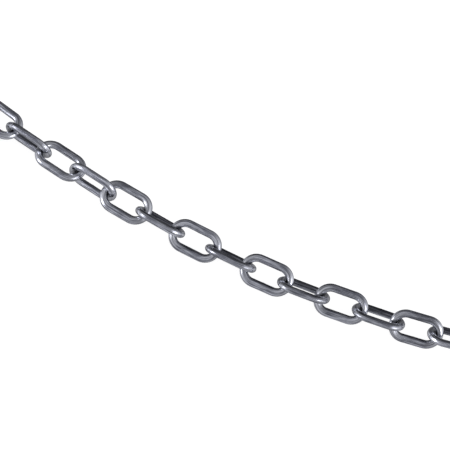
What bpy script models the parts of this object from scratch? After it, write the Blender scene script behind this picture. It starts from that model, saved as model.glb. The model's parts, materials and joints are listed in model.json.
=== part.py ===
"""One metre of welded steel chain, lying on a level floor in a gentle bend.

Every link is one closed ring of round wire with two straight sides and two round crowns. The links
stand across one another and lean on the floor in turn, to one side and to the other, and a slow
twist along the chain tips some of them up and lays others flatter.
Metres, +Z up, floor at Z = 0, the chain runs along +X.
"""

import math

import bmesh
import bpy
from mathutils import Matrix, Vector

# ---- driving dimensions -------------------------------------------------------------
WIRE = 0.0060  # wire diameter
PITCH = 0.0300  # inside length of a link, which is also the pitch of the chain
WIDTH = 0.0252  # outside width of a link
LINKS = 34  # 34 pitches of 30 mm make one metre
PLAY = 0.0003  # gap left where two crowns bear on each other
SIDES = 12  # facets round the wire
CROWN_STEPS = 10  # facets round each crown

# ---- how the chain lies -------------------------------------------------------------
# Each table holds (link number, value) stations, with straight-line values in between.
# Heading of the link on the floor, in degrees from +X.
HEADINGS = (
    (1, -15.0),
    (11, -15.0),
    (12, -13.1),
    (13, -11.2),
    (14, -10.4),
    (15, -7.0),
    (16, -3.6),
    (18, -0.9),
    (19, 1.8),
    (20, 5.8),
    (22, 8.7),
    (24, 14.6),
    (34, 15.5),
)
# Twist of the chain about its own run, in degrees from an even lean to both sides.
TWISTS = (
    (1, 0.0),
    (7, 0.0),
    (10, -14.0),
    (11, -28.0),
    (12, -18.0),
    (13, -34.5),
    (14, -30.5),
    (15, -10.8),
    (16, 8.6),
    (17, 9.0),
    (18, 7.3),
    (19, 5.0),
    (20, 18.0),
    (21, 8.5),
    (22, 22.4),
    (23, 12.5),
    (24, 27.5),
    (25, 16.0),
    (28, 0.0),
    (34, 0.0),
)
EVEN_LEAN = 45.0  # lean that both sets of links share where there is no twist

R_WIRE = WIRE / 2
R_CROWN = (WIDTH - WIRE) / 2  # centre-line radius of a crown
HALF_STRAIGHT = (PITCH + WIRE) / 2 - R_CROWN  # half the straight part of a side
# The facets keep the section area of the round wire.
R_FACET = R_WIRE * math.sqrt(2 * math.pi / (SIDES * math.sin(2 * math.pi / SIDES)))
FACET_HALF_TURN = math.pi / SIDES


def clear_scene():
    for obj in list(bpy.data.objects):
        bpy.data.objects.remove(obj, do_unlink=True)


def between(stations, number):
    """Straight-line value between the stations either side of a link."""
    for (a, va), (b, vb) in zip(stations, stations[1:]):
        if number <= b:
            return va + (vb - va) * (number - a) / (b - a)
    return stations[-1][1]


def steel():
    mat = bpy.data.materials.new("link_steel")
    mat.use_nodes = True
    bsdf = mat.node_tree.nodes["Principled BSDF"]
    bsdf.inputs["Base Color"].default_value = (0.42, 0.43, 0.47, 1)
    bsdf.inputs["Metallic"].default_value = 1.0
    bsdf.inputs["Roughness"].default_value = 0.38
    return mat


def centre_line():
    """Points round the link in its own plane, each with the outward direction there.

    The facets of a crown touch its circle half way along, so the tip and both sides are at full size.
    """
    reach = R_CROWN / math.cos(math.pi / (2 * CROWN_STEPS))
    points = []
    for end in (0, 1):
        for k in range(CROWN_STEPS):
            a = math.pi * ((k + 0.5) / CROWN_STEPS - 0.5 + end)
            at = Vector((reach * math.cos(a), reach * math.sin(a), 0))
            at.x += HALF_STRAIGHT * (1, -1)[end]
            points.append((at, Vector((math.cos(a), math.sin(a), 0))))
    return points


def link_mesh(name, down):
    """The ring of wire as one closed surface. A facet of the wire faces along `down`, in the link's own axes."""
    # The lower side of the link is the one at -Y, where outward is -Y.
    phase = math.atan2(down.z, -down.y) + FACET_HALF_TURN
    bm = bmesh.new()
    rings = []
    for at, outward in centre_line():
        ring = []
        # Sections of the crowns lie on the mitre planes, so that each facet has an even width.
        stretch = 1 / math.cos(math.pi / (2 * CROWN_STEPS))
        for s in range(SIDES):
            a = phase + 2 * math.pi * s / SIDES
            ring.append(
                bm.verts.new(
                    at
                    + outward * (R_FACET * math.cos(a) * stretch)
                    + Vector((0, 0, R_FACET * math.sin(a)))
                )
            )
        rings.append(ring)
    for ring, after in zip(rings, rings[1:] + rings[:1]):
        for s in range(SIDES):
            t = (s + 1) % SIDES
            bm.faces.new((ring[s], after[s], after[t], ring[t]))
    bmesh.ops.recalc_face_normals(bm, faces=bm.faces)
    mesh = bpy.data.meshes.new(name)
    bm.to_mesh(mesh)
    bm.free()
    mesh.shade_smooth()
    return mesh


def leans():
    """The lean of each link: the angle between its width and the floor."""
    out = []
    for number in range(1, LINKS + 1):
        twist = between(TWISTS, number)
        out.append(math.radians(EVEN_LEAN + (twist if number % 2 else -twist)))
    return out


def bearing_points():
    """Where each link bears on the next, from the first link's free end to the last one's.

    The run of the chain is held up by the links that stand on the floor.
    """
    lean = leans()
    stand = [R_CROWN * math.sin(a) + R_FACET * math.cos(FACET_HALF_TURN) for a in lean]
    heights = []
    for i in range(LINKS + 1):
        near = [stand[k] for k in (i - 2, i - 1, i, i + 1) if 0 <= k < LINKS]
        heights.append(max(near))
    points = [Vector((0, 0, heights[0]))]
    for i in range(LINKS):
        heading = math.radians(between(HEADINGS, i + 1))
        rise = heights[i + 1] - points[-1].z
        flat = math.sqrt((PITCH - PLAY) ** 2 - rise**2)
        points.append(
            points[-1] + Vector((flat * math.cos(heading), flat * math.sin(heading), rise))
        )
    return points


def poses():
    """A matrix for each link: X runs along the link, Y across its width and up, Z through its opening."""
    points = bearing_points()
    out = []
    for i, lean in enumerate(leans()):
        along = (points[i + 1] - points[i]).normalized()
        side = Vector((-along.y, along.x, 0)).normalized()
        up = along.cross(side)
        if i % 2:
            side = -side
        across = side * math.cos(lean) + up * math.sin(lean)
        m = Matrix((along, across, along.cross(across))).transposed().to_4x4()
        m.translation = (points[i] + points[i + 1]) / 2
        out.append(m)
    return out


def links():
    """(name, mesh, matrix) of every link, with the chain centred over the origin and its lowest point at Z = 0."""
    made = []
    low, high = Vector((9, 9, 9)), Vector((-9, -9, -9))
    for i, m in enumerate(poses()):
        name = f"link_{i + 1:02d}"
        down = m.to_3x3().transposed() @ Vector((0, 0, -1))
        mesh = link_mesh(name, down)
        made.append((name, mesh, m))
        for v in mesh.vertices:
            p = m @ v.co
            low = Vector(map(min, low, p))
            high = Vector(map(max, high, p))
    shift = Matrix.Translation((-(low.x + high.x) / 2, -(low.y + high.y) / 2, -low.z))
    return [(name, mesh, shift @ m) for name, mesh, m in made]


def main():
    clear_scene()
    material = steel()
    for name, mesh, m in links():
        mesh.materials.append(material)
        obj = bpy.data.objects.new(name, mesh)
        bpy.context.scene.collection.objects.link(obj)
        obj.matrix_world = m


if __name__ == "__main__":
    main()
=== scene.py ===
"""Looks for one metre of welded steel chain.

Every link of the CAD frame is stood for by a smooth ring of round wire in the same place, with the
weld on one of its sides, and all of them share one satin steel with the grain of drawn wire.
"""

import json
import math

import bpy
import numpy as np
from mathutils import Matrix, Vector

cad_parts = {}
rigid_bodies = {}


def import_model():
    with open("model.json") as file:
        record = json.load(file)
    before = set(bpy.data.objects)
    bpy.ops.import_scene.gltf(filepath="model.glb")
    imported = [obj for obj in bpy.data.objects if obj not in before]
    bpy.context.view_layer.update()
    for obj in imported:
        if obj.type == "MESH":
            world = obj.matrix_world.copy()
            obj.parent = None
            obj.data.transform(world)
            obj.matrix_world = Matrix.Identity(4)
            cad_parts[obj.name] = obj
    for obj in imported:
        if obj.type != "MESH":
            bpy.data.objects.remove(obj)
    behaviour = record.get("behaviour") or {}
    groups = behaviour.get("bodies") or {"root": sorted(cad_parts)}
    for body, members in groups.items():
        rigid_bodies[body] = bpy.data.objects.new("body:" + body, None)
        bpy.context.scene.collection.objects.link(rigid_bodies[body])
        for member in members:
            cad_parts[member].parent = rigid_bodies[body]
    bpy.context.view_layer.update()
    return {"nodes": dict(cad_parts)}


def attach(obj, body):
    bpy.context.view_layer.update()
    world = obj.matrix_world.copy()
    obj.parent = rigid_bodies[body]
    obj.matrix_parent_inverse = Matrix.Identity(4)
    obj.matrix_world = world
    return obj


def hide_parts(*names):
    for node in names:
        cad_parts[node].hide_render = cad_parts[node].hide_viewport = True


# ---- the link, as in the CAD, in metres ---------------------------------------------
R_WIRE = 0.0030
# The 6 mm wire has been pressed slightly oval, most on the straight sides: half thickness in the plane
# of the link and through it, as shares of the round wire's. Every second link is fuller at -Y.
OVAL_SIDE = (1.025, 0.91)
OVAL_FULL_SIDE = (1.105, 0.91)
OVAL_CROWN = (1.015, 0.95)
R_CROWN = 0.0096  # centre line of a crown
HALF_STRAIGHT = 0.0084  # half the straight part of a side

# ---- mesh ---------------------------------------------------------------------------
ROUND = 36  # points round the wire
CROWN_RINGS = 22  # sections in each crown
SIDE_RINGS = 16  # sections in each straight side

# ---- camera -------------------------------------------------------------------------
IMAGE = 450  # pixels on each side of the picture
CAMERA_AZIMUTH = 4.780
CAMERA_ELEVATION = 45.351
CAMERA_ROLL = 21.702  # the picture is turned this far clockwise
CAMERA_DISTANCE = 3.0
CAMERA_FOCUS = 3989.5  # focal length in pixels
CAMERA_AIM = Vector((-0.00121, -0.02363, 0.0100))

# ---- studio -------------------------------------------------------------------------
# The light from all round, as (direction, tightness, strength, colour). A direction is (right, up,
# towards the camera) in the picture that the camera takes.
AMBIENT = 0.01
LIGHTS = (
    ((1.0, -0.04, 0.0), 2.5, 0.75, (0.98, 0.99, 1.05)),  # wide light on the right
    ((0.68, -0.35, 0.64), 29.5, 4.4, (0.98, 0.99, 1.05)),  # and its bright middle
    ((-0.94, 0.29, -0.17), 7.4, 0.91, (0.98, 0.99, 1.05)),  # wide light on the left
    ((-0.87, 0.02, 0.49), 45.0, 7.4, (0.98, 0.99, 1.05)),  # and its bright middle
    ((-0.55, -0.83, 0.04), 2.3, 0.55, (0.98, 0.99, 1.05)),  # pale ground in front
    ((-0.17, 0.20, -0.97), 14.8, 0.26, (0.98, 0.99, 1.05)),  # and far behind
    ((-0.11, 0.42, 0.90), 5.0, 0.45, (0.98, 0.99, 1.05)),  # the side of the camera
    ((-0.47, -0.31, 0.83), 12.0, 0.25, (0.98, 0.99, 1.05)),  # and its bright middle
)
FLOOR_GLOW = 0.88
OVER_FLOOR = 60.0  # watts of the wide light over the floor


def clear_scene():
    for obj in list(bpy.data.objects):
        bpy.data.objects.remove(obj, do_unlink=True)


def link_frame(node):
    """The matrix of a CAD link: X along it, Y across it and up, Z through its opening."""
    points = np.array([v.co for v in node.data.vertices], float)
    points = np.unique(np.round(points, 6), axis=0)
    centre = points.mean(0)
    _, axes = np.linalg.eigh(np.cov((points - centre).T))
    along, across = Vector(axes[:, 2]), Vector(axes[:, 1])
    if along.x < 0:
        along = -along
    if across.z < 0:
        across = -across
    m = Matrix((along, across, along.cross(across))).transposed().to_4x4()
    m.translation = Vector(centre)
    return m


def stations():
    """(point, outward direction, distance along the wire, share of a crown's bend) round a link."""
    out = []
    bend = math.pi * R_CROWN
    straight = 2 * HALF_STRAIGHT
    for end in (0, 1):
        s = end * (bend + straight)
        for k in range(CROWN_RINGS):
            t = k / CROWN_RINGS
            a = math.pi * (t - 0.5 + end)
            outward = Vector((math.cos(a), math.sin(a), 0))
            at = outward * R_CROWN + Vector((HALF_STRAIGHT * (1, -1)[end], 0, 0))
            out.append((at, outward, s + t * bend, math.sin(math.pi * t)))
        for k in range(SIDE_RINGS):
            t = k / SIDE_RINGS
            sign = (1, -1)[end]
            outward = Vector((0, sign, 0))
            at = outward * R_CROWN + Vector((sign * HALF_STRAIGHT * (1 - 2 * t), 0, 0))
            out.append((at, outward, s + bend + t * straight, 0.0))
    return out


LENGTH = 2 * math.pi * R_CROWN + 4 * HALF_STRAIGHT  # of the wire, along its centre line
WELD_AT = math.pi * R_CROWN + HALF_STRAIGHT  # the middle of the side at +Y


def tone_of(number):
    """How bright a link's steel is, next to the brightest. One link in twelve is bare and bright."""
    if number % 12 == 2:
        return 1.0
    return 0.86 + 0.06 * math.sin(2.4 * number)


def link_mesh(name, number):
    """A smooth ring of round wire, welded shut in the middle of one side, at +Y or -Y."""
    ring = stations()
    points, faces = [], []
    grain, turn, crown, inner_shade, weld, painted_shade = [], [], [], [], [], []
    tone = tone_of(number)
    weld_at = WELD_AT if number % 4 < 2 else WELD_AT + LENGTH / 2
    for at, outward, s, bend in ring:
        away = abs((s - weld_at + LENGTH / 2) % LENGTH - LENGTH / 2)
        # The flash of the weld is a low bead, ground off on the outside of the link.
        bead = math.exp(-((away / 0.0011) ** 2))
        phi = 2 * math.pi * s / LENGTH
        side = OVAL_FULL_SIDE if number % 2 and outward.y < 0 else OVAL_SIDE
        flat, through = (a * (1 - bend) + b * bend for a, b in zip(side, OVAL_CROWN))
        for k in range(ROUND):
            a = 2 * math.pi * k / ROUND
            c, z = math.cos(a), math.sin(a)
            left = 0.5 - 0.5 * c
            r = R_WIRE + 0.00010 * bead * left
            points.append(at + outward * (r * flat * c) + Vector((0, 0, r * through * z)))
            grain.append((c, z, math.cos(phi)))
            turn.append(math.sin(phi))
            crown.append(bend)
            # Painted shade on the side of a crown towards the opening, most where the crowns bear on each
            # other.
            inner_shade.append(max(0.0, min(1.0, (-c - 0.05) / 0.6)) * bend**4)
            weld.append(bead)
            # Painted shade darkens what faces up. That is the face of the lower side towards the opening,
            # and on every second link more to -Z, with a line of painted shade along the -Z of the upper
            # side.
            lower, upper = (max(0.0, min(1.0, sign * 2.5 * outward.y - 1.0)) for sign in (-1, 1))
            if number % 2:
                shade_here = lower * max(0.0, min(1.0, (-c - 0.42) / 0.38))
            else:
                shade_here = lower * max(0.0, min(1.0, (-0.72 * c - 0.70 * z - 0.15) / 0.75))
                if number % 12 != 2:
                    shade_here += upper * 0.8 * max(0.0, min(1.0, (-z - 0.5) / 0.35))
            painted_shade.append(shade_here)
    n = len(ring)
    for i in range(n):
        j = (i + 1) % n
        for k in range(ROUND):
            m = (k + 1) % ROUND
            faces.append(
                (i * ROUND + k, j * ROUND + k, j * ROUND + m, i * ROUND + m)
            )
    mesh = bpy.data.meshes.new(name)
    mesh.from_pydata([tuple(p) for p in points], [], faces)
    vector = mesh.attributes.new("grain", "FLOAT_VECTOR", "POINT")
    vector.data.foreach_set("vector", np.array(grain, np.float32).ravel())
    for label, values in (
        ("turn", turn),
        ("crown", crown),
        ("inner_shade", inner_shade),
        ("weld", weld),
        ("painted_shade", painted_shade),
        ("tone", [tone] * len(points)),
        ("number", [float(number)] * len(points)),
    ):
        made = mesh.attributes.new(label, "FLOAT", "POINT")
        made.data.foreach_set("value", np.array(values, np.float32))
    mesh.shade_smooth()
    mesh.validate()
    mesh.update()
    return mesh


class Nodes:
    """Short names for building a node tree."""

    def __init__(self, tree):
        self.tree = tree

    def add(self, kind, **settings):
        node = self.tree.nodes.new(kind)
        for key, value in settings.items():
            setattr(node, key, value)
        return node

    def link(self, a, b):
        self.tree.links.new(a, b)

    def attribute(self, name, output="Fac"):
        return self.add("ShaderNodeAttribute", attribute_name=name).outputs[output]

    def math(self, operation, a, b=None, clamp=False):
        node = self.add("ShaderNodeMath", operation=operation, use_clamp=clamp)
        for socket, value in zip(node.inputs, (a, b)):
            if value is None:
                continue
            if isinstance(value, (int, float)):
                socket.default_value = value
            else:
                self.link(value, socket)
        return node.outputs[0]

    def ramp(self, value, stops):
        """Colours between stops, each (place, brightness or colour)."""
        node = self.add("ShaderNodeValToRGB")
        elements = node.color_ramp.elements
        while len(elements) < len(stops):
            elements.new(0.5)
        for element, (place, colour) in zip(elements, stops):
            element.position = place
            if isinstance(colour, (int, float)):
                colour = (colour,) * 3
            element.color = (*colour, 1)
        self.link(value, node.inputs[0])
        return node.outputs[0]

    def mix(self, factor, a, b, blend="MIX"):
        node = self.add("ShaderNodeMix", data_type="RGBA", blend_type=blend)
        for socket, value in zip((node.inputs[0], node.inputs[6], node.inputs[7]), (factor, a, b)):
            if isinstance(value, (int, float)):
                socket.default_value = value
            elif isinstance(value, tuple):
                socket.default_value = (*value, 1)
            else:
                self.link(value, socket)
        return node.outputs[2]

    def scaled(self, vector, by):
        node = self.add("ShaderNodeVectorMath", operation="MULTIPLY")
        self.link(vector, node.inputs[0])
        node.inputs[1].default_value = by
        return node.outputs[0]

    def noise(self, vector, w, detail, roughness):
        node = self.add("ShaderNodeTexNoise", noise_dimensions="4D")
        self.link(vector, node.inputs["Vector"])
        self.link(w, node.inputs["W"])
        node.inputs["Scale"].default_value = 1.0
        node.inputs["Detail"].default_value = detail
        node.inputs["Roughness"].default_value = roughness
        return node.outputs[0]


def steel():
    mat = bpy.data.materials.new("satin_steel")
    mat.use_nodes = True
    n = Nodes(mat.node_tree)
    bsdf = mat.node_tree.nodes["Principled BSDF"]
    bsdf.inputs["Metallic"].default_value = 1.0
    grain = n.attribute("grain", "Vector")
    turn = n.attribute("turn")
    number = n.attribute("number")
    crown = n.attribute("crown")
    inner_shade = n.attribute("inner_shade")
    weld = n.attribute("weld")
    painted_shade = n.attribute("painted_shade")
    tone = n.attribute("tone")

    # The turn round the wire and the run along it close on themselves, so no pattern has a seam.
    def pattern(around, along, offset, detail, roughness):
        vector = n.scaled(grain, (around, around, along))
        shifted = n.math("ADD", n.math("MULTIPLY", number, 7.31), offset)
        w = n.math("ADD", n.math("MULTIPLY", turn, along), shifted)
        return n.noise(vector, w, detail, roughness)

    bands = pattern(1.6, 0.7, 17.0, 1.0, 0.5)
    streaks = pattern(4.2, 0.8, 0.0, 3.0, 0.60)
    scratches = pattern(11.0, 2.2, 31.0, 3.0, 0.65)
    clouds = pattern(1.3, 2.2, 57.0, 3.0, 0.5)
    pores = pattern(9.0, 40.0, 83.0, 2.0, 0.5)

    base = n.ramp(streaks, ((0.42, (0.185, 0.190, 0.228)), (0.585, (0.91, 0.93, 1.0))))
    base = n.mix(1.0, base, n.ramp(bands, ((0.40, 0.60), (0.58, 1.0))), "MULTIPLY")
    base = n.mix(n.ramp(scratches, ((0.46, 0.0), (0.66, 0.60))), base, (0.88, 0.90, 1.0))
    base = n.mix(n.ramp(clouds, ((0.38, 0.50), (0.54, 0.0))), base, (0.18, 0.186, 0.225))
    # No two links are quite as bright as each other.
    base = n.mix(1.0, base, n.ramp(tone, ((0.0, 0.0), (1.0, 1.0))), "MULTIPLY")
    # The crowns are worn bright, partly real wear and partly a painted highlight, most on the ridges of the
    # streaks.
    worn_and_highlight = n.math("MULTIPLY", crown, n.ramp(streaks, ((0.41, 0.12), (0.57, 0.85))))
    base = n.mix(worn_and_highlight, base, (0.96, 0.97, 1.0))
    # Painted shade darkens the upper face of the side that lies lowest, and where the crowns bear on each
    # other, in the grooves of the streaks more than on their ridges.
    shade_here = n.math("MULTIPLY", painted_shade, n.ramp(streaks, ((0.42, 0.92), (0.60, 0.60))))
    base = n.mix(shade_here, base, (0.035, 0.036, 0.046))
    # Painted shade where the crowns bear on each other.
    base = n.mix(n.math("MULTIPLY", inner_shade, 0.88), base, (0.04, 0.041, 0.052))
    n.link(base, bsdf.inputs["Base Color"])

    rough = n.ramp(streaks, ((0.40, 0.25), (0.60, 0.17)))
    rough = n.math("SUBTRACT", rough, n.math("MULTIPLY", crown, 0.10))
    rough = n.math("MULTIPLY", rough, n.ramp(pores, ((0.35, 1.12), (0.65, 0.92))))
    rough = n.math("ADD", rough, n.math("MULTIPLY", inner_shade, 0.12))
    rough = n.math("ADD", rough, n.math("MULTIPLY", painted_shade, 0.06))
    rough = n.math("ADD", rough, n.math("MULTIPLY", weld, 0.08), clamp=True)
    n.link(rough, bsdf.inputs["Roughness"])

    # The bands are slight flats of the wire, the streaks and scratches are drawing marks.
    height = n.math("ADD", n.math("MULTIPLY", bands, 1.0), n.math("MULTIPLY", streaks, 0.40))
    height = n.math("ADD", height, n.math("MULTIPLY", scratches, 0.12))
    height = n.math("ADD", height, n.math("MULTIPLY", pores, 0.03))
    bump = n.add("ShaderNodeBump")
    bump.inputs["Strength"].default_value = 0.60
    bump.inputs["Distance"].default_value = 0.00080
    n.link(height, bump.inputs["Height"])
    n.link(bump.outputs[0], bsdf.inputs["Normal"])
    return mat


def floor():
    mesh = bpy.data.meshes.new("floor")
    reach = 15.0
    low = -0.00020  # the wire is up to this much fuller than the facets that it stands for
    mesh.from_pydata(
        [(-reach, -reach, low), (reach, -reach, low), (reach, reach, low), (-reach, reach, low)],
        [],
        [(0, 1, 2, 3)],
    )
    obj = bpy.data.objects.new("floor", mesh)
    bpy.context.scene.collection.objects.link(obj)
    mat = bpy.data.materials.new("pale_floor")
    mat.use_nodes = True
    bsdf = mat.node_tree.nodes["Principled BSDF"]
    bsdf.inputs["Base Color"].default_value = (0.30, 0.30, 0.30, 1)
    bsdf.inputs["Roughness"].default_value = 0.9
    bsdf.inputs["Specular IOR Level"].default_value = 0.0
    # A lit table: its own glow leaves only a trace of the shadows.
    bsdf.inputs["Emission Color"].default_value = (1.0, 1.0, 1.0, 1)
    bsdf.inputs["Emission Strength"].default_value = FLOOR_GLOW
    mesh.materials.append(mat)
    # The steel mirrors the soft light below the horizon, not the floor's own glare.
    obj.visible_glossy = False
    obj.visible_shadow = False
    return obj


def camera_axes():
    a, e = math.radians(CAMERA_AZIMUTH), math.radians(CAMERA_ELEVATION)
    back = Vector((math.sin(a) * math.cos(e), -math.cos(a) * math.cos(e), math.sin(e)))
    right = Vector((math.cos(a), math.sin(a), 0))
    up = back.cross(right)
    t = math.radians(CAMERA_ROLL)
    x = right * math.cos(t) + up * math.sin(t)
    y = -right * math.sin(t) + up * math.cos(t)
    return x, y, back


def camera():
    data = bpy.data.cameras.new("camera")
    data.sensor_width = 36.0
    data.lens = CAMERA_FOCUS / IMAGE * data.sensor_width
    data.clip_start, data.clip_end = 0.05, 100
    obj = bpy.data.objects.new("camera", data)
    bpy.context.scene.collection.objects.link(obj)
    x, y, back = camera_axes()
    m = Matrix((x, y, back)).transposed().to_4x4()
    m.translation = CAMERA_AIM + back * CAMERA_DISTANCE
    obj.matrix_world = m
    bpy.context.scene.camera = obj


def world_light(n, direction, sharpness, strength, colour):
    """A soft patch of light far away, as the strength of the world in each direction."""
    axes = camera_axes()
    d = sum((axis * part for axis, part in zip(axes, direction)), Vector())
    near = n.add("ShaderNodeVectorMath", operation="DOT_PRODUCT")
    near.inputs[1].default_value = d.normalized()
    n.link(n.add("ShaderNodeTexCoord").outputs["Generated"], near.inputs[0])
    fall = n.math("EXPONENT", n.math("MULTIPLY", n.math("SUBTRACT", near.outputs["Value"], 1.0), sharpness))
    shown = n.add("ShaderNodeVectorMath", operation="SCALE")
    shown.inputs[0].default_value = Vector(colour) * strength
    n.link(fall, shown.inputs["Scale"])
    return shown.outputs[0]


def studio():
    """Soft light from all round, a brighter patch on each side, and a wide light over the floor."""
    world = bpy.context.scene.world or bpy.data.worlds.new("studio")
    bpy.context.scene.world = world
    world.use_nodes = True
    n = Nodes(world.node_tree)
    total = None
    for light in LIGHTS:
        lit = world_light(n, *light)
        add = n.add("ShaderNodeVectorMath", operation="ADD")
        if total is None:
            add.inputs[0].default_value = (AMBIENT,) * 3
        else:
            n.link(total, add.inputs[0])
        n.link(lit, add.inputs[1])
        total = add.outputs[0]
    # The backdrop that the camera sees past the floor is as plain and pale as the floor.
    seen = n.mix(n.add("ShaderNodeLightPath").outputs["Is Camera Ray"], total, (1.0, 1.0, 1.0))
    n.link(seen, world.node_tree.nodes["Background"].inputs["Color"])

    data = bpy.data.lights.new("over_floor", "AREA")
    data.shape = "DISK"
    data.size = 8.0
    data.energy = OVER_FLOOR
    over = bpy.data.objects.new("over_floor", data)
    over.location = (0, 0, 4.0)
    over.visible_glossy = False
    over.visible_camera = False
    bpy.context.scene.collection.objects.link(over)
    bpy.context.scene.view_settings.view_transform = "Standard"
    bpy.context.scene.view_settings.look = "None"


def main():
    clear_scene()
    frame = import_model()
    material = steel()
    for number, name in enumerate(sorted(frame["nodes"]), 1):
        node = frame["nodes"][name]
        mesh = link_mesh(name + "_wire", number)
        mesh.materials.append(material)
        mesh.transform(link_frame(node))
        obj = bpy.data.objects.new(name + "_wire", mesh)
        bpy.context.scene.collection.objects.link(obj)
        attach(obj, name)
        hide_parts(name)
    floor()
    studio()
    camera()


main()
